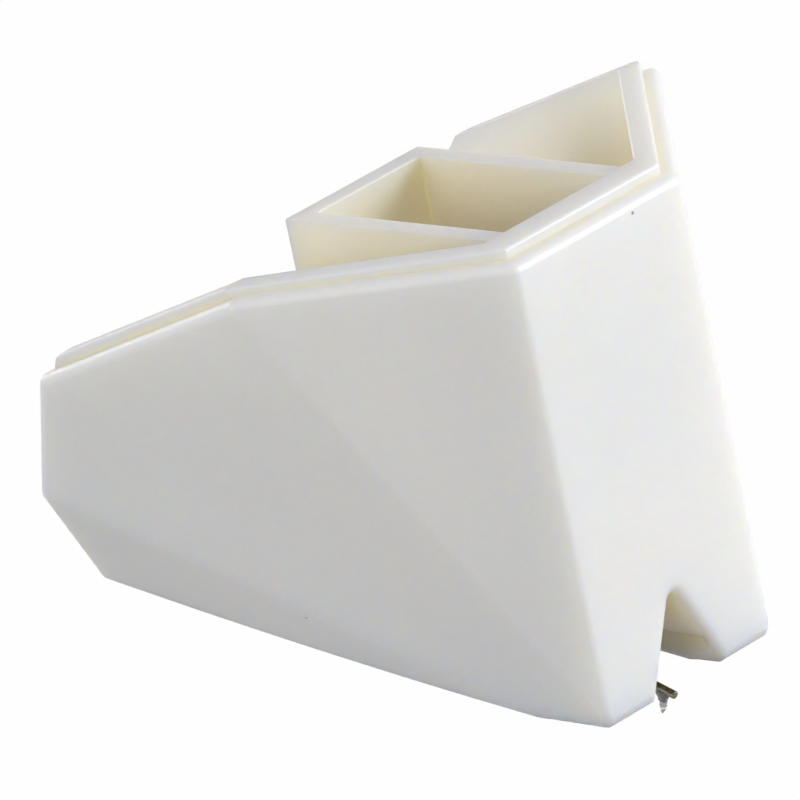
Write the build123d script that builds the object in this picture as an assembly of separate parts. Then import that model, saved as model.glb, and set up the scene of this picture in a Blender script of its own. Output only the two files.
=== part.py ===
from build123d import *
import os
from math import atan2, cos, hypot, radians, sin, tan

# Replaceable stylus unit of a moving-magnet pickup, in millimetres. While the pieces are made, Y runs back from
# the front face, Z runs up from about the prong tips, and X = 0 is the plane that mirrors the moulding.

# Faceted shell: front face, flared cheeks, widest line, rear end and underside
front_flank = 1.2
front_height = 12.94
widest_half_width = 8.68
widest_back = 5.23
widest_rise = 0.64
rear_top_back = 12.85
rear_top_height = 10.78
rear_knee_back = 14.87
rear_foot_back = 16.97
rear_foot_height = 2.93
rear_foot_half_width = 4.08
prong_back = 2.0
prong_rise = 0.13
prong_drop = 0.09
keel_sag = 0.25
shell_edge_radius = 0.27

# Walls, the rim's step and the well that takes the nose of the pickup body
side_wall = 1.08
floor_wall = 0.9
lip_ledge = 0.45
lip_rise = 0.35
lip_rear_ledge = 0.42
lip_edge_radius = 0.1
front_wall = 1.21
rim_rise = 0.36
well_length = 6.8
well_half_width = 2.05
well_wall = 0.6
well_depth = 7.3
well_corner_radius = 0.08
rim_edge_radius = 0.06

# Cantilever line: it passes through the point where the shank is set and rises to the rear
rake_deg = 19.5
shank_back = 1.05
shank_drop = 0.37
nose_overhang = 0.38
nose_radius = 0.11
cantilever_radius = 0.22
cantilever_wall = 0.06
taper_start = 0.6
taper_length = 2.6

# Slot for the cantilever, open at the front and below
slot_half_width = 1.125
slot_peak = 2.69
slot_crown_radius = 0.22
slot_reach = 0.6
slot_slope_deg = 8
slot_margin = 0.22
mouth_half_width = 1.39
mouth_depth = 1.1
relief_back = 0.25
relief_height = 0.8
relief_half_width = 1.15

# Suspension, with places measured back along the cantilever line from the shank
tube_start = 7.5
tube_length = 4.4
tube_radius = 0.72
tube_wall = 0.14
boss_length = 1.9
boss_wall = 0.75
pivot_inset = 0.45
damper_length = 0.5
running_gap = 0.02
carrier_radius = 0.3
carrier_lead = 1.65
carrier_tail = 2.05
cantilever_engage = 1.25
magnet_gap = 0.2
magnet_length = 1.4
magnet_radius = 0.44
ferrule_length = 0.3
wire_radius = 0.05
wire_play = 0.03
plug_length = 0.9
plug_inset = 0.2

# Stylus
shank_radius = 0.105
shank_sink = 0.05
shank_length = 0.55
diamond_radius = 0.085
diamond_body = 0.09
diamond_length = 0.23
diamond_land = 0.018
bond_radius = 0.19
bond_drop = 0.1

# Values that follow from the sizes above
overrun = 4.0
front_half_width = well_half_width + front_flank
widest_height = front_height + widest_rise
rim_height = front_height + rim_rise
side_drop = widest_height - rear_top_height
side_run = rear_top_back - widest_back
side_spread = (widest_half_width - front_half_width) / (widest_back * side_drop + widest_height * side_run)
rear_lean = (rear_foot_back - rear_top_back) / (rear_top_height - rear_foot_height)
top_fall = side_drop / side_run
lip_rear_rise = lip_rise / (1 - top_fall * rear_lean)
rear_knee_height = rear_top_height - (rear_knee_back - rear_top_back) / rear_lean
well_back = front_wall + well_length
block_back = well_back + well_wall
block_half_width = well_half_width + well_wall
block_front = (lip_ledge + front_wall) / 2
rake = radians(rake_deg)
slot_slope = radians(slot_slope_deg)
slot_length = shank_back + tube_start * cos(rake) - slot_margin
pivot_along = tube_start + pivot_inset
tube_bore = tube_radius - tube_wall
tube_end = tube_start + tube_length
cantilever_bore = cantilever_radius - cantilever_wall
cantilever_end = pivot_along - carrier_lead + cantilever_engage
magnet_start = pivot_along + damper_length / 2 + magnet_gap
plug_start = tube_end - plug_inset - plug_length
to_frame = Location((0, -(front_wall + well_length / 2), -rim_height))


# Half width of the side facet's plane at a place on it
def side_half_width(back, height):
    return front_half_width + side_spread * (back * side_drop + height * side_run)


# Place of the crease between the cheek and side facets at a height, with both facets moved in by inset
def crease_back(height, inset):
    cheek_slope = (widest_half_width - front_half_width) / widest_back
    side_slope = side_spread * side_drop
    side_rise = side_spread * side_run
    shift = inset * (hypot(1, cheek_slope) - hypot(1, side_slope, side_rise))
    return (side_rise * height + shift) / (cheek_slope - side_slope)


# Closed outline in the mirror plane: the given points from front to rear, then the shallow arc of the underside
def side_outline(points, lift=0.0):
    front_low = (points[0][0], lift - prong_drop)
    heel = (prong_back, prong_rise + lift)
    foot = (rear_foot_back, rear_foot_height + lift)
    belly = ((heel[0] + foot[0]) / 2, (heel[1] + foot[1]) / 2 - keel_sag)
    edges = Polyline(front_low, *points, foot).edges()
    edges = edges + [ThreePointArc(foot, belly, heel).edge()]
    edges = edges + [Line(heel, front_low).edge()]
    return Plane.YZ * make_face(edges)


# Plane through three (half width, back, height) points, its normal outward, moved in by inset
def facet(first, second, third, inset):
    corner = Vector(*first)
    normal = (Vector(*second) - corner).cross(Vector(*third) - corner).normalized()
    if normal.X < 0:
        normal = normal * -1
    return Plane(origin=corner - normal * inset, z_dir=normal)


# Outline drawn out to both sides and cut to the cheek, side and lower facets, each moved in by its wall
def faceted(outline, inset, low_inset):
    foot = (front_half_width, 0, 0)
    cheek = facet(foot, (front_half_width, 0, front_height), (widest_half_width, widest_back, 0), inset)
    widest = (widest_half_width, widest_back, widest_height)
    side = facet(foot, widest, (widest_half_width, rear_top_back, rear_top_height), inset)
    knee = (side_half_width(rear_knee_back, rear_knee_height), rear_knee_back, rear_knee_height)
    heel = (side_half_width(prong_back, prong_rise), prong_back, prong_rise)
    lower = facet(knee, (rear_foot_half_width, rear_foot_back, rear_foot_height), heel, low_inset)
    half = extrude(outline, widest_half_width, dir=(1, 0, 0))
    for plane in (cheek, side, lower):
        half = split(half, bisect_by=plane, keep=Keep.BOTTOM)
    return half + mirror(half, about=Plane.YZ)


# Plane square to the cantilever line, its normal running back along it
def line_plane(distance):
    place = (0, shank_back + distance * cos(rake), -shank_drop + distance * sin(rake))
    return Plane(origin=place, x_dir=(1, 0, 0), z_dir=(0, cos(rake), sin(rake)))


# Round bar on the cantilever line, or a tube where a bore is given
def rod(start, length, radius, bore=0.0):
    bar = extrude(line_plane(start) * Circle(radius), length)
    if bore:
        bar = bar - extrude(line_plane(start) * Circle(bore), length)
    return bar


# Solid turned about the cantilever line from (radius, distance back) points
def turned(points):
    axis_plane = Plane(origin=line_plane(0).origin, x_dir=(1, 0, 0), z_dir=(0, -sin(rake), cos(rake)))
    section = axis_plane * make_face(Polyline(*points, close=True).edges())
    return revolve(section, Axis(line_plane(0).origin, line_plane(0).z_dir))


# Stylus axis: square to the cantilever line, pointing down to the record
def stylus_plane(drop):
    down = Vector(0, sin(rake), -cos(rake))
    return Plane(origin=line_plane(0).origin + down * drop, x_dir=(1, 0, 0), z_dir=down)


# Rounded inverted V across the slot, which goes on past the prong tips
def slot_section(half_width):
    flare = atan2(half_width, slot_peak)
    foot_x = half_width + slot_reach * tan(flare)
    centre = slot_peak - slot_crown_radius / sin(flare)
    touch = (slot_crown_radius * cos(flare), centre + slot_crown_radius * sin(flare))
    wall = [touch, (foot_x, -slot_reach), (foot_x, -overrun)]
    across = [(-x, z) for x, z in reversed(wall)]
    edges = Polyline(*wall, *across).edges()
    crown = ThreePointArc(across[-1], (0, centre + slot_crown_radius), touch)
    edges = edges + [crown.edge()]
    return Plane.XZ * make_face(edges)


# Slot for the cantilever: a mouth that narrows from the front face, then a plain run up to the boss
def cantilever_slot():
    way = Vector(0, cos(slot_slope), sin(slot_slope))
    front = slot_section(mouth_half_width)
    throat = Pos(way * (mouth_depth / cos(slot_slope))) * slot_section(slot_half_width)
    ahead = extrude(front, overrun, dir=(0, -1, 0))
    run = extrude(throat, (slot_length - mouth_depth) / cos(slot_slope), dir=way)
    return ahead + loft([front, throat], ruled=True) + run


# Lower part of the slot behind its mouth, straight-sided and wider than the V above it
def slot_relief():
    roof = relief_height + relief_back * tan(slot_slope)
    roof_end = relief_height + slot_length * tan(slot_slope)
    corners = [(relief_back, -overrun), (relief_back, roof), (slot_length, roof_end), (slot_length, -overrun)]
    side = Plane.YZ * make_face(Polyline(*corners, close=True).edges())
    return extrude(side, relief_half_width, both=True)


# One moulding: faceted shell, stepped rim, well, cantilever slot and the boss round the suspension tube
def stylus_housing():
    rim = [(0, front_height), (widest_back, widest_height), (rear_top_back, rear_top_height)]
    sharp = faceted(side_outline(rim), 0, 0)
    slot = cantilever_slot()
    cleft = sharp - slot
    outer = cleft.edges().filter_by(lambda edge: edge.center().Y < 0.01 or slot.distance_to(edge @ 0.5) > 0.01)
    shell = fillet(outer, shell_edge_radius)

    lip_rear_back = rear_top_back - rear_lean * lip_rear_rise - lip_rear_ledge
    lip_rear = (lip_rear_back, rear_top_height + lip_rise + top_fall * (rear_top_back - lip_rear_back))
    kink_back = crease_back(widest_height + lip_rise, lip_ledge)
    lip_kink = (kink_back, widest_height + lip_rise - top_fall * (kink_back - widest_back))
    lip_top = [(lip_ledge, rim_height), lip_kink, lip_rear]
    lip = faceted(side_outline(lip_top, floor_wall), lip_ledge, floor_wall)
    lip_faces = lip.faces().filter_by(lambda face: face.normal_at().Z > cos(radians(40)))
    lip = fillet(lip_faces.edges(), lip_edge_radius)

    sky = rim_height + overrun
    far = rear_foot_back + overrun
    room_top = [(front_wall, sky), (far, sky), (far, rear_foot_height + floor_wall)]
    room = faceted(side_outline(room_top, floor_wall), side_wall, floor_wall)

    block_length = block_back - block_front
    block = Box(2 * block_half_width, block_length, rim_height, align=(Align.CENTER, Align.MIN, Align.MIN))
    block = Pos(0, block_front, 0) * block
    boss = rod(tube_start, boss_length, tube_radius + boss_wall)
    column = faceted(side_outline([(lip_ledge, rim_height), (rear_foot_back, rim_height)]), 0, 0)
    inside = ((block + boss) & column) - slot

    well = Box(2 * well_half_width, well_length, well_depth, align=(Align.CENTER, Align.MIN, Align.MAX))
    well = fillet(well.edges().filter_by(Axis.Z).group_by(Axis.Y)[-1], well_corner_radius)
    well = Pos(0, front_wall, rim_height) * well
    moulding = shell + (lip - slot) - room + inside - well

    lip_top = Compound(lip_faces)
    rim_edges = moulding.edges().filter_by(lambda edge: room.distance_to(edge @ 0.5) < 0.01)
    rim_edges = rim_edges.filter_by(lambda edge: lip_top.distance_to(edge @ 0.5) < 0.01)
    well_edges = moulding.edges().filter_by(lambda edge: abs(edge.center().Z - rim_height) < 0.01)
    soft_edges = (rim_edges + well_edges).filter_by(lambda edge: edge.center().Y > front_wall + 0.01)
    moulding = fillet(soft_edges, rim_edge_radius)
    bore = rod(tube_start - overrun / 4, tube_length + overrun, tube_radius)
    return moulding - slot_relief() - bore


# Aluminium tube pressed into the boss, which carries the whole suspension
def suspension_tube():
    return rod(tube_start, tube_length, tube_radius, tube_bore)


# Moulded rubber ring: its rim is part of a ball about the pivot, so it seats in the tube at any tilt
def damper_ring():
    ball = line_plane(pivot_along) * Sphere(tube_bore)
    slab = rod(pivot_along - damper_length / 2, damper_length, tube_bore)
    hole = rod(pivot_along - damper_length, 2 * damper_length, carrier_radius + running_gap)
    return (ball & slab) - hole


# Sleeve that joins the cantilever to the magnet
def magnet_carrier():
    return rod(pivot_along - carrier_lead, carrier_lead + carrier_tail, carrier_radius, cantilever_radius)


# Ring magnet bonded on the carrier behind the damper
def magnet():
    return rod(magnet_start, magnet_length, magnet_radius, carrier_radius)


# Brass bead fixed in the carrier at the pivot, which takes the wire's end
def wire_ferrule():
    return rod(pivot_along - ferrule_length / 2, ferrule_length, cantilever_radius, wire_radius + wire_play)


# Spring-steel wire from the pivot to the plug
def tie_wire():
    return rod(pivot_along, plug_start + plug_length - pivot_along, wire_radius)


# Brass plug that anchors the wire in the tube's rear end
def wire_plug():
    return rod(plug_start, plug_length, tube_bore, wire_radius)


# Tapered aluminium cantilever, hollow behind its solid nose, with a socket for the shank
def cantilever():
    nose = -nose_overhang
    round_nose = nose_radius / 3
    full = taper_start + taper_length
    outline = [(0, nose), (nose_radius - round_nose, nose), (nose_radius, nose + round_nose)]
    outline = outline + [(nose_radius, taper_start), (cantilever_radius, full), (cantilever_radius, cantilever_end)]
    outline = outline + [(cantilever_bore, cantilever_end), (cantilever_bore, full), (0, full - cantilever_bore)]
    socket = extrude(stylus_plane(-shank_sink) * Circle(shank_radius), shank_length)
    return turned(outline) - socket


# Round metal shank bonded in the cantilever
def stylus_shank():
    return extrude(stylus_plane(-shank_sink) * Circle(shank_radius), shank_length)


# Diamond on the shank's end: a short round body, then the ground point
def diamond_tip():
    top = shank_length - shank_sink
    body = extrude(stylus_plane(top) * Circle(diamond_radius), diamond_body)
    point = loft([stylus_plane(top + diamond_body) * Circle(diamond_radius),
                  stylus_plane(top + diamond_length) * Circle(diamond_land)])
    return body + point


# Bead of resin round the shank under the cantilever
def bond_bead():
    bead = stylus_plane(bond_drop) * Sphere(bond_radius)
    whole = rod(-nose_overhang, taper_start + nose_overhang, nose_radius)
    return bead - whole - stylus_shank() - extrude(stylus_plane(0) * Circle(overrun), -overrun)


os.makedirs("parts", exist_ok=True)
export_step(to_frame * stylus_housing(), "parts/stylus_housing.step")
export_step(to_frame * suspension_tube(), "parts/suspension_tube.step")
export_step(to_frame * damper_ring(), "parts/damper_ring.step")
export_step(to_frame * magnet_carrier(), "parts/magnet_carrier.step")
export_step(to_frame * magnet(), "parts/magnet.step")
export_step(to_frame * wire_ferrule(), "parts/wire_ferrule.step")
export_step(to_frame * tie_wire(), "parts/tie_wire.step")
export_step(to_frame * wire_plug(), "parts/wire_plug.step")
export_step(to_frame * cantilever(), "parts/cantilever.step")
export_step(to_frame * stylus_shank(), "parts/stylus_shank.step")
export_step(to_frame * diamond_tip(), "parts/diamond_tip.step")
export_step(to_frame * bond_bead(), "parts/bond_bead.step")
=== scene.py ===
from math import cos, radians, sin
import bmesh
import bpy
import numpy as np
from mathutils import Matrix, Vector


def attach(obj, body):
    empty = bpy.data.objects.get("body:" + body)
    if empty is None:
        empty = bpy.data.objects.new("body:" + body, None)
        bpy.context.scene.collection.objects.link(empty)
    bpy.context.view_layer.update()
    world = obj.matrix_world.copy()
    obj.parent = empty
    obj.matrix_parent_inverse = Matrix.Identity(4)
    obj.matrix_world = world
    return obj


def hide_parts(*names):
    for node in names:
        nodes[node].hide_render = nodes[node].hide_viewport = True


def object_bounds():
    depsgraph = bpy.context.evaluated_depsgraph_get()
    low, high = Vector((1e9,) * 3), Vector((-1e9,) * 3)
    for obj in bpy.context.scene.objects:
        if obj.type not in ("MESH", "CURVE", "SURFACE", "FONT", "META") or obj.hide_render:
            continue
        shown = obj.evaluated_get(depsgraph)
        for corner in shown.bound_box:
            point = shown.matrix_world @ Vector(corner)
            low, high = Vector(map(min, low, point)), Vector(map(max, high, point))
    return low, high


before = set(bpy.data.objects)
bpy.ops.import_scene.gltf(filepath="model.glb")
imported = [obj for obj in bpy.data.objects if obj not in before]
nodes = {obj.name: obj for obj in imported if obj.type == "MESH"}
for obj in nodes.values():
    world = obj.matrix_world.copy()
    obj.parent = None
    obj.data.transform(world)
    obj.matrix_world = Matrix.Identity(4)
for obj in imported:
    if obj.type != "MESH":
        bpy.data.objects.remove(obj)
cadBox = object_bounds()
scene = bpy.context.scene
mm = 0.001
rake = 19.5  # degrees that the arm rises from its nose to the suspension
whiteLight = (1, 1, 1, 1)


def linear(hexColour):  # sRGB hex to linear, each channel through the sRGB curve
    c = np.array([int(hexColour[i:i + 2], 16) for i in (1, 3, 5)]) / 255
    c = np.where(c <= 0.04045, c / 12.92, ((c + 0.055) / 1.055) ** 2.4)
    return (*c.tolist(), 1.0)


def feed(mat, node, sources):  # each socket takes another node's output or a fixed value
    for socket, source in sources:
        if isinstance(source, bpy.types.NodeSocket):
            mat.node_tree.links.new(source, node.inputs[socket])
        else:
            node.inputs[socket].default_value = source


def addNode(mat, kind, sources=(), **settings):  # one node with its settings and links
    node = mat.node_tree.nodes.new(kind)
    for key, value in settings.items():
        setattr(node, key, value)
    feed(mat, node, sources)
    return node


def newMaterial(name):
    mat = bpy.data.materials.new(name)
    mat.use_nodes = True
    return mat, mat.node_tree.nodes["Principled BSDF"]


def dress(obj, mat):
    obj.data.materials.clear()
    obj.data.materials.append(mat)


print("stage: camera")
view = dict(azimuth=44.47, elevation=19.07, roll=11.81,  # degrees
            distance=399.8, aim=(0.0, 1.89, -5.3), nearest=10.0,  # mm
            pixelsPerMm=38.15, frameWidth=800, offset=(-49.71, -23.99),  # pixels
            sensor=36.0)


def addCamera():
    az, el, roll = (radians(view[k]) for k in ("azimuth", "elevation", "roll"))
    back = Vector((-cos(el) * sin(az), -cos(el) * cos(az), sin(el)))
    right = Vector((0, 0, 1)).cross(back).normalized()
    up = back.cross(right)
    imageRight = cos(roll) * right - sin(roll) * up
    imageUp = sin(roll) * right + cos(roll) * up
    sideways, upward = (k / view["pixelsPerMm"] for k in view["offset"])
    aim = Vector(view["aim"]) + imageRight * sideways + imageUp * upward
    data = bpy.data.cameras.new("camera")
    data.sensor_width = view["sensor"]
    data.lens = view["sensor"] * view["pixelsPerMm"] * view["distance"] / view["frameWidth"]
    data.clip_start = view["nearest"] * mm
    camera = bpy.data.objects.new("camera", data)
    axes = Matrix((imageRight, imageUp, back)).transposed().to_4x4()
    camera.matrix_world = Matrix.Translation((aim + back * view["distance"]) * mm) @ axes
    scene.collection.objects.link(camera)
    scene.camera = camera


addCamera()

print("stage: materials")
ivoryAbs = dict(
    white="#f5f5f5", cream="#f3f2f1", patchMm=5.0, patchBand=(0.35, 0.65),
    # hollow colour, reach, band and rays: painted warm light, masked by occlusion in the hollows
    hollow="#fdeed9", hollowMm=9.0, hollowBand=(0.4, 0.99), hollowRays=8,
    speck="#8a8276", speckCellMm=1.3, speckHeart=(0.02, 0.05), speckCut=0.965,
    grainMm=0.12, grainShare=0.03, swellMm=2.4, bumpMm=0.02, bumpStrength=0.35,
    ior=1.53, roughness=0.42, roughnessSpread=0.05,
    scatterMm=1.8, scatterReach=(1.0, 0.78, 0.45))


def mouldedAbs():
    # ivory ABS straight from a polished mould: soft gloss, faint flow patches,
    # a little light carried under the skin, and warm light painted into its hollows
    mat, shader = newMaterial("moulded_ABS_ivory")
    place = addNode(mat, "ShaderNodeTexCoord").outputs["Object"]
    flow = addNode(mat, "ShaderNodeTexNoise", [
        ("Vector", place), ("Scale", 1 / (ivoryAbs["patchMm"] * mm)), ("Detail", 2.0)])
    ramp = addNode(mat, "ShaderNodeValToRGB", [("Fac", flow.outputs["Fac"])])
    tones = (ivoryAbs["cream"], ivoryAbs["white"])
    for stop, position, tone in zip(ramp.color_ramp.elements, ivoryAbs["patchBand"], tones):
        stop.position, stop.color = position, linear(tone)

    # painted warm light: the colour turns to cream as a hollow closes in, standing in for
    # warm light that has come through the walls (6 and 7 are the mix's two colour sockets)
    closed = addNode(mat, "ShaderNodeAmbientOcclusion", [("Distance", ivoryAbs["hollowMm"] * mm)],
                     samples=ivoryAbs["hollowRays"], only_local=True)
    deepest, shallowest = ivoryAbs["hollowBand"]
    depth = addNode(mat, "ShaderNodeMapRange", [
        ("Value", closed.outputs["AO"]), ("From Min", deepest), ("From Max", shallowest),
        ("To Min", 1.0), ("To Max", 0.0)])
    paintedWarmth = addNode(mat, "ShaderNodeMix", data_type="RGBA")
    feed(mat, paintedWarmth, [("Factor", depth.outputs["Result"]), (6, ramp.outputs["Color"]),
                     (7, linear(ivoryAbs["hollow"]))])

    # dust specks: the hearts of a few cells of a lattice
    cells = addNode(mat, "ShaderNodeTexVoronoi", [
        ("Vector", place), ("Scale", 1 / (ivoryAbs["speckCellMm"] * mm))])
    core, rim = ivoryAbs["speckHeart"]
    heart = addNode(mat, "ShaderNodeMapRange", [
        ("Value", cells.outputs["Distance"]), ("From Min", core), ("From Max", rim),
        ("To Min", 1.0), ("To Max", 0.0)])
    pick = addNode(mat, "ShaderNodeSeparateColor", [("Color", cells.outputs["Color"])])
    few = addNode(mat, "ShaderNodeMath", [
        (0, pick.outputs["Red"]), (1, ivoryAbs["speckCut"])], operation="GREATER_THAN")
    speck = addNode(mat, "ShaderNodeMath", [
        (0, heart.outputs["Result"]), (1, few.outputs[0])], operation="MULTIPLY")
    tint = addNode(mat, "ShaderNodeMix", data_type="RGBA")
    feed(mat, tint, [("Factor", speck.outputs[0]), (6, paintedWarmth.outputs[2]),
                     (7, linear(ivoryAbs["speck"]))])

    # the skin's relief: a slow swell with a little fine grain on it
    grain = addNode(mat, "ShaderNodeTexNoise", [
        ("Vector", place), ("Scale", 1 / (ivoryAbs["grainMm"] * mm)), ("Detail", 1.0)])
    swell = addNode(mat, "ShaderNodeTexNoise", [
        ("Vector", place), ("Scale", 1 / (ivoryAbs["swellMm"] * mm)), ("Detail", 0.0)])
    relief = addNode(mat, "ShaderNodeMath", [
        (0, grain.outputs["Fac"]), (1, ivoryAbs["grainShare"]), (2, swell.outputs["Fac"])],
        operation="MULTIPLY_ADD")
    bump = addNode(mat, "ShaderNodeBump", [
        ("Height", relief.outputs[0]), ("Strength", ivoryAbs["bumpStrength"]),
        ("Distance", ivoryAbs["bumpMm"] * mm)])
    rub = addNode(mat, "ShaderNodeMapRange", [
        ("Value", flow.outputs["Fac"]),
        ("To Min", ivoryAbs["roughness"] - ivoryAbs["roughnessSpread"]),
        ("To Max", ivoryAbs["roughness"] + ivoryAbs["roughnessSpread"])])
    feed(mat, shader, [
        ("Base Color", tint.outputs[2]), ("Normal", bump.outputs["Normal"]),
        ("Roughness", rub.outputs["Result"]), ("IOR", ivoryAbs["ior"]),
        ("Subsurface Weight", 1.0), ("Subsurface Radius", ivoryAbs["scatterReach"]),
        ("Subsurface Scale", ivoryAbs["scatterMm"] * mm)])
    return mat


dieLines = dict(stretch=30, band=(0.3, 0.7), roughnessSpread=0.08, bumpMm=0.002, bumpStrength=0.3)


def drawnStock(name, light, dark, roughness, lineMm, turnDeg=-rake, metallic=1.0):
    # stock drawn or pressed through a die: long fine lines along its axis
    mat, shader = newMaterial(name)
    place = addNode(mat, "ShaderNodeTexCoord").outputs["Object"]
    along = addNode(mat, "ShaderNodeMapping", [
        ("Vector", place), ("Rotation", (radians(turnDeg), 0, 0)),
        ("Scale", (1.0, 1 / dieLines["stretch"], 1.0))])
    lines = addNode(mat, "ShaderNodeTexNoise", [
        ("Vector", along.outputs["Vector"]), ("Scale", 1 / (lineMm * mm)), ("Detail", 3.0)])
    ramp = addNode(mat, "ShaderNodeValToRGB", [("Fac", lines.outputs["Fac"])])
    for stop, position, tone in zip(ramp.color_ramp.elements, dieLines["band"], (dark, light)):
        stop.position, stop.color = position, linear(tone)
    rub = addNode(mat, "ShaderNodeMapRange", [
        ("Value", lines.outputs["Fac"]),
        ("To Min", roughness - dieLines["roughnessSpread"]),
        ("To Max", roughness + dieLines["roughnessSpread"])])
    bump = addNode(mat, "ShaderNodeBump", [
        ("Height", lines.outputs["Fac"]), ("Strength", dieLines["bumpStrength"]),
        ("Distance", dieLines["bumpMm"] * mm)])
    feed(mat, shader, [
        ("Base Color", ramp.outputs["Color"]), ("Roughness", rub.outputs["Result"]),
        ("Normal", bump.outputs["Normal"]), ("Metallic", metallic)])
    return mat


clouds = dict(band=(0.3, 0.7))


def clearStone(name, clear, cloudy, cloudMm, ior, roughness, transmission):
    # clear solid with a faint cloud inside
    mat, shader = newMaterial(name)
    place = addNode(mat, "ShaderNodeTexCoord").outputs["Object"]
    cloud = addNode(mat, "ShaderNodeTexNoise", [
        ("Vector", place), ("Scale", 1 / (cloudMm * mm)), ("Detail", 2.0)])
    ramp = addNode(mat, "ShaderNodeValToRGB", [("Fac", cloud.outputs["Fac"])])
    for stop, position, tone in zip(ramp.color_ramp.elements, clouds["band"], (clear, cloudy)):
        stop.position, stop.color = position, linear(tone)
    feed(mat, shader, [
        ("Base Color", ramp.outputs["Color"]), ("IOR", ior), ("Roughness", roughness),
        ("Transmission Weight", transmission)])
    return mat


# bright grey with a soft sheen
aluminium = drawnStock("drawn_aluminium", light="#c9c9c6", dark="#a9a9a5",
                       roughness=0.32, lineMm=0.03)
# near black, with a brown cast where the light catches it
darkAluminium = drawnStock("blackened_aluminium", light="#857f6e", dark="#4c4840",
                           roughness=0.34, lineMm=0.03)
# warm grey with sharp glints, its lines along the shank
titanium = drawnStock("polished_titanium", light="#b4b2b0", dark="#868482",
                      roughness=0.24, lineMm=0.02, turnDeg=90 - rake)
# clean yellow
brass = drawnStock("turned_brass", light="#c9a552", dark="#a8843b",
                   roughness=0.28, lineMm=0.03)
# cool grey, the finest lines
springSteel = drawnStock("spring_steel", light="#a4a6a8", dark="#7d7f82",
                         roughness=0.26, lineMm=0.01)
# dull dark grey, only partly metal to the eye
ferrite = drawnStock("sintered_magnet", light="#5e5f61", dark="#444547",
                     roughness=0.5, lineMm=0.05, metallic=0.8)
# matt black
butyl = drawnStock("butyl_rubber", light="#2a2a2b", dark="#1b1b1c",
                   roughness=0.72, lineMm=0.06, metallic=0.0)
# clear and very bright at its edges
diamond = clearStone("diamond", clear="#dcdcda", cloudy="#a9a8a5", cloudMm=0.06,
                     ior=2.417, roughness=0.03, transmission=0.95)
# milky grey with a wet gloss
resin = clearStone("epoxy_resin", clear="#a39d9e", cloudy="#817b7c", cloudMm=0.05,
                   ior=1.52, roughness=0.08, transmission=0.35)
ivory = mouldedAbs()
dress(nodes["stylus_housing"], ivory)

print("stage: arm and suspension")
# distances in mm along the arm's line, from the point where the shank crosses it
line = dict(origin=(0.0, -3.56, -13.67), facets=72, cornerSteps=5, cornerShare=0.45, weld=1e-5)


def ringOutline(piece):  # the ring's section, from its bore out to its radius and back
    bore, radius, start, end = (piece[k] for k in ("bore", "radius", "start", "end"))
    return [(bore, start), (radius, start), (radius, end), (bore, end)]


def softCorners(points, radius, closed):
    # each corner C becomes a quadratic curve from A to B, the points a radius away along
    # its two sides (at most a share of the shorter one): (1-t)^2 A + 2t(1-t) C + t^2 B
    p = np.array(points, float)
    before, after = np.roll(p, 1, 0) - p, np.roll(p, -1, 0) - p
    beforeLength, afterLength = (np.linalg.norm(side, axis=1) for side in (before, after))
    reach = np.minimum(beforeLength, afterLength) * line["cornerShare"]
    reach = np.minimum(reach, radius)[:, None]
    a = p + before / beforeLength[:, None] * reach
    b = p + after / afterLength[:, None] * reach
    t = np.linspace(0, 1, line["cornerSteps"])[None, :, None]
    arcs = (1 - t) ** 2 * a[:, None] + 2 * t * (1 - t) * p[:, None] + t ** 2 * b[:, None]
    if closed:
        return arcs.reshape(-1, 2)
    return np.concatenate([p[:1], arcs[1:-1].reshape(-1, 2), p[-1:]])


def finishMesh(obj):  # poles and seams closed, faces outward, smooth with large faces leading
    bm = bmesh.new()
    bm.from_mesh(obj.data)
    bmesh.ops.remove_doubles(bm, verts=bm.verts, dist=line["weld"] * mm)
    bmesh.ops.recalc_face_normals(bm, faces=bm.faces)
    bm.to_mesh(obj.data)
    bm.free()
    obj.data.polygons.foreach_set("use_smooth", [True] * len(obj.data.polygons))
    obj.modifiers.new("evenShade", "WEIGHTED_NORMAL")


def turned(name, points, corner, body, mat, upright=False, stretch=1.0):
    # surface of revolution: origin + d * axis + r * (cos(a) * across + sin(a) * over), for
    # (r, d) points in mm; an outline that starts on the axis also ends there, any other is a
    # closed ring; the axis is the arm's line, or the shank's when upright; stretch draws out
    # the half on the over side
    closed = points[0][0] > 0
    lengthwise = np.array([0, cos(radians(rake)), sin(radians(rake))])
    down = np.array([0, sin(radians(rake)), -cos(radians(rake))])
    axis, over = (down, lengthwise) if upright else (lengthwise, -down)
    across = np.cross(over, axis)
    profile = softCorners(points, corner, closed)
    count, rings = line["facets"], len(profile)
    angle = np.linspace(0, 2 * np.pi, count, endpoint=False)
    drawn = np.where(np.sin(angle) > 0, stretch, 1.0) * np.sin(angle)
    spoke = np.cos(angle)[:, None] * across + drawn[:, None] * over
    r, d = profile[:, 0, None, None], profile[:, 1, None, None]
    grid = np.array(line["origin"]) + d * axis + r * spoke
    ring = np.arange(rings if closed else rings - 1)[:, None] * count
    nextRing = (ring + count) % (rings * count)
    step = np.arange(count)[None, :]
    nextStep = (step + 1) % count
    quads = np.stack([ring + step, ring + nextStep, nextRing + nextStep, nextRing + step], -1)
    mesh = bpy.data.meshes.new(name)
    mesh.from_pydata((grid.reshape(-1, 3) * mm).tolist(), [], quads.reshape(-1, 4).tolist())
    obj = bpy.data.objects.new(name, mesh)
    scene.collection.objects.link(obj)
    finishMesh(obj)
    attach(obj, body)
    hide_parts(name.replace("_turned", ""))
    dress(obj, mat)


tube = dict(start=7.5, end=11.9, radius=0.72, bore=0.58, corner=0.03)
turned("suspension_tube_turned", ringOutline(tube), tube["corner"],
       "housing", aluminium)

plug = dict(start=10.8, end=11.7, radius=0.58, bore=0.05, corner=0.04)
turned("wire_plug_turned", ringOutline(plug), plug["corner"], "housing", brass)

wire = dict(start=7.95, end=11.7, radius=0.05, bore=0, corner=0.015)
turned("tie_wire_turned", ringOutline(wire), wire["corner"],
       "housing", springSteel)

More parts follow.
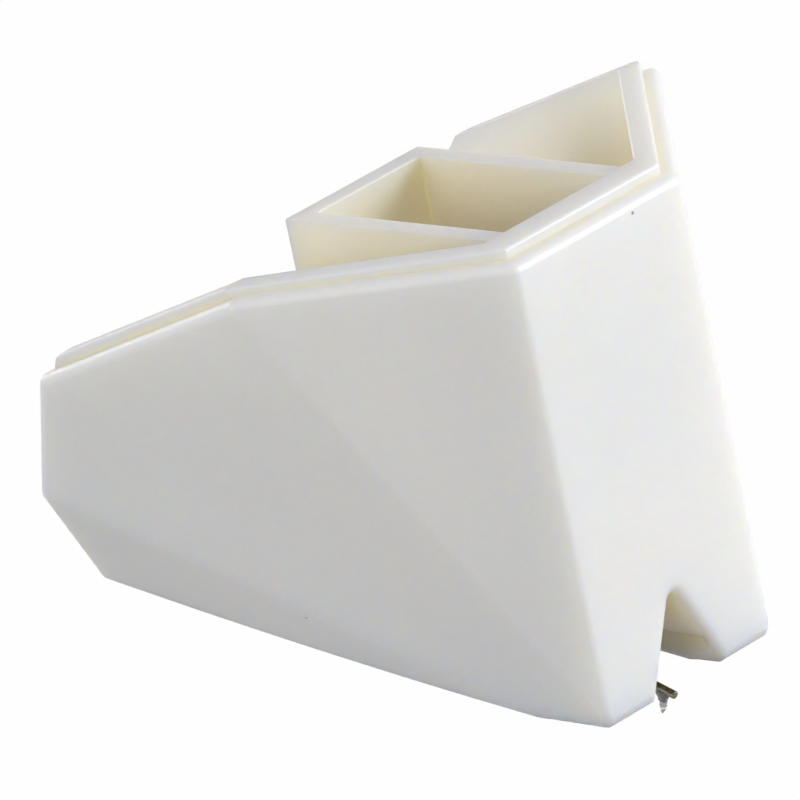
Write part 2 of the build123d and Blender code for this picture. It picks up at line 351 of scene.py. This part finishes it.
damper = dict(centre=7.95, half=0.25, ball=0.58, bore=0.32, steps=13, corner=0.03)


def damperOutline():  # outer side: the arc r = sqrt(ball^2 - d^2) between the two flat faces
    d = np.linspace(-damper["half"], damper["half"], damper["steps"])
    arc = np.stack([np.sqrt(damper["ball"] ** 2 - d ** 2), d + damper["centre"]], 1)
    start, end = (damper["centre"] + side * damper["half"] for side in (-1, 1))
    return [(damper["bore"], start), *arc.tolist(), (damper["bore"], end)]


turned("damper_ring_turned", damperOutline(), damper["corner"], "suspension", butyl)

sleeve = dict(start=6.3, end=10.0, radius=0.3, bore=0.22, corner=0.02)
turned("magnet_carrier_turned", ringOutline(sleeve), sleeve["corner"],
       "stylus_arm", aluminium)

ringMagnet = dict(start=8.4, end=9.8, radius=0.44, bore=0.3, corner=0.03)
turned("magnet_turned", ringOutline(ringMagnet), ringMagnet["corner"],
       "stylus_arm", ferrite)

ferrule = dict(start=7.8, end=8.1, radius=0.22, bore=0.08, corner=0.02)
turned("wire_ferrule_turned", ringOutline(ferrule), ferrule["corner"],
       "stylus_arm", brass)

arm = dict(nose=-0.38, noseRadius=0.11, taperStart=0.6, full=3.2, radius=0.22, bore=0.16,
           end=7.55, corner=0.04)


def armOutline():  # solid nose, straight taper to the full tube, blind bore with a conical end
    return [(0, arm["nose"]), (arm["noseRadius"], arm["nose"]),
            (arm["noseRadius"], arm["taperStart"]), (arm["radius"], arm["full"]),
            (arm["radius"], arm["end"]), (arm["bore"], arm["end"]),
            (arm["bore"], arm["full"]), (0, arm["full"] - arm["bore"])]


turned("cantilever_turned", armOutline(), arm["corner"],
       "stylus_arm", darkAluminium)

print("stage: stylus")
shank = dict(start=-0.05, end=0.50, radius=0.105, bore=0, corner=0.008)
turned("stylus_shank_turned", ringOutline(shank), shank["corner"],
       "stylus_arm", titanium, upright=True)

stone = dict(start=0.50, shoulder=0.59, end=0.73, radius=0.085, land=0.018, corner=0.01)


def stoneOutline():  # short round body, then a cone down to a small flat land
    return [(0, stone["start"]), (stone["radius"], stone["start"]),
            (stone["radius"], stone["shoulder"]), (stone["land"], stone["end"]),
            (0, stone["end"])]


turned("diamond_tip_turned", stoneOutline(), stone["corner"],
       "stylus_arm", diamond, upright=True)

bond = dict(start=0.0, end=0.34, radius=0.165, neck=0.107, bore=0.02, reachBack=1.7,
            steps=24, corner=0.02)


def bondOutline():
    # drop of resin, widest a third of the way down:
    # r = neck + (radius - neck) * 27/4 * s * (1 - s)^2, with s from 0 at its top to 1 at its end
    s = np.linspace(0, 1, bond["steps"])
    r = bond["neck"] + (bond["radius"] - bond["neck"]) * 27 / 4 * s * (1 - s) ** 2
    d = bond["start"] + (bond["end"] - bond["start"]) * s
    side = np.stack([r, d], 1).tolist()
    return [(bond["bore"], bond["start"]), *side, (bond["bore"], bond["end"])]


turned("bond_bead_turned", bondOutline(), bond["corner"],
       "stylus_arm", resin, upright=True, stretch=bond["reachBack"])

print("stage: studio")
studio = dict(dropMm=0.4, reachMm=600.0, floor="#848484", floorRoughness=0.9, glow=0.99, air=0.08)


def seenDirectly(mat):  # 1 for what the camera, a mirror or a clear piece looks at
    path = addNode(mat, "ShaderNodeLightPath").outputs
    seen = path["Is Camera Ray"]
    for ray in ("Is Glossy Ray", "Is Transmission Ray"):
        either = addNode(mat, "ShaderNodeMath", [(0, seen), (1, path[ray])], operation="MAXIMUM")
        seen = either.outputs[0]
    return seen


def addFloor():  # grey paper to the lamps, nearly white where it is seen
    low = cadBox[0][2] - studio["dropMm"] * mm
    r = studio["reachMm"] * mm
    mesh = bpy.data.meshes.new("floor")
    corners = [(-r, -r, low), (r, -r, low), (r, r, low), (-r, r, low)]
    mesh.from_pydata(corners, [], [(0, 1, 2, 3)])
    floor = bpy.data.objects.new("floor", mesh)
    scene.collection.objects.link(floor)
    mat, shader = newMaterial("floor_paper")
    feed(mat, shader, [("Roughness", studio["floorRoughness"]),
                       ("Base Color", linear(studio["floor"]))])
    share = addNode(mat, "ShaderNodeMath", [(0, seenDirectly(mat)), (1, studio["glow"])],
                    operation="MULTIPLY")
    glow = addNode(mat, "ShaderNodeEmission", [("Color", whiteLight), ("Strength", 1.0)])
    mix = addNode(mat, "ShaderNodeMixShader", [
        ("Fac", share.outputs[0]), (1, shader.outputs[0]), (2, glow.outputs[0])])
    feed(mat, mat.node_tree.nodes["Material Output"], [("Surface", mix.outputs[0])])
    dress(floor, mat)


def addWorld():  # faint light from all round, white where it is seen
    world = bpy.data.worlds.new("studio")
    scene.world = world
    world.use_nodes = True
    air = world.node_tree.nodes["Background"]
    feed(world, air, [("Color", whiteLight), ("Strength", studio["air"])])
    white = addNode(world, "ShaderNodeBackground", [("Color", whiteLight), ("Strength", 1.0)])
    mix = addNode(world, "ShaderNodeMixShader", [
        ("Fac", seenDirectly(world)), (1, air.outputs[0]), (2, white.outputs[0])])
    feed(world, world.node_tree.nodes["World Output"], [("Surface", mix.outputs[0])])


addFloor()
addWorld()

lampStand = dict(distanceMm=300.0, sizeMm=160.0, aimMm=(0.0, 0.0, -6.0))
lamps = dict(key=dict(direction=(0.62, -0.75, 0.24), strength=0.98),
             nearFill=dict(direction=(-0.95, 0.15, 0.21), strength=0.44),
             rearFill=dict(direction=(0.1, 1.0, 0.25), strength=0.32),
             highFill=dict(direction=(-0.66, -0.4, 0.64), strength=0.2))


def addLamp(name, direction, strength):
    # square lamp whose strength is how bright it makes a white face turned to it:
    # power = strength * pi^2 * distance^2
    distance = lampStand["distanceMm"] * mm
    data = bpy.data.lights.new(name, "AREA")
    data.size = lampStand["sizeMm"] * mm
    data.energy = strength * np.pi ** 2 * distance ** 2
    lamp = bpy.data.objects.new(name, data)
    way = Vector(direction).normalized()
    stand = Matrix.Translation(Vector(lampStand["aimMm"]) * mm + way * distance)
    lamp.matrix_world = stand @ way.to_track_quat("Z", "Y").to_matrix().to_4x4()
    scene.collection.objects.link(lamp)


for lampName, lamp in lamps.items():
    addLamp(lampName, **lamp)
scene.view_settings.view_transform = "Standard"
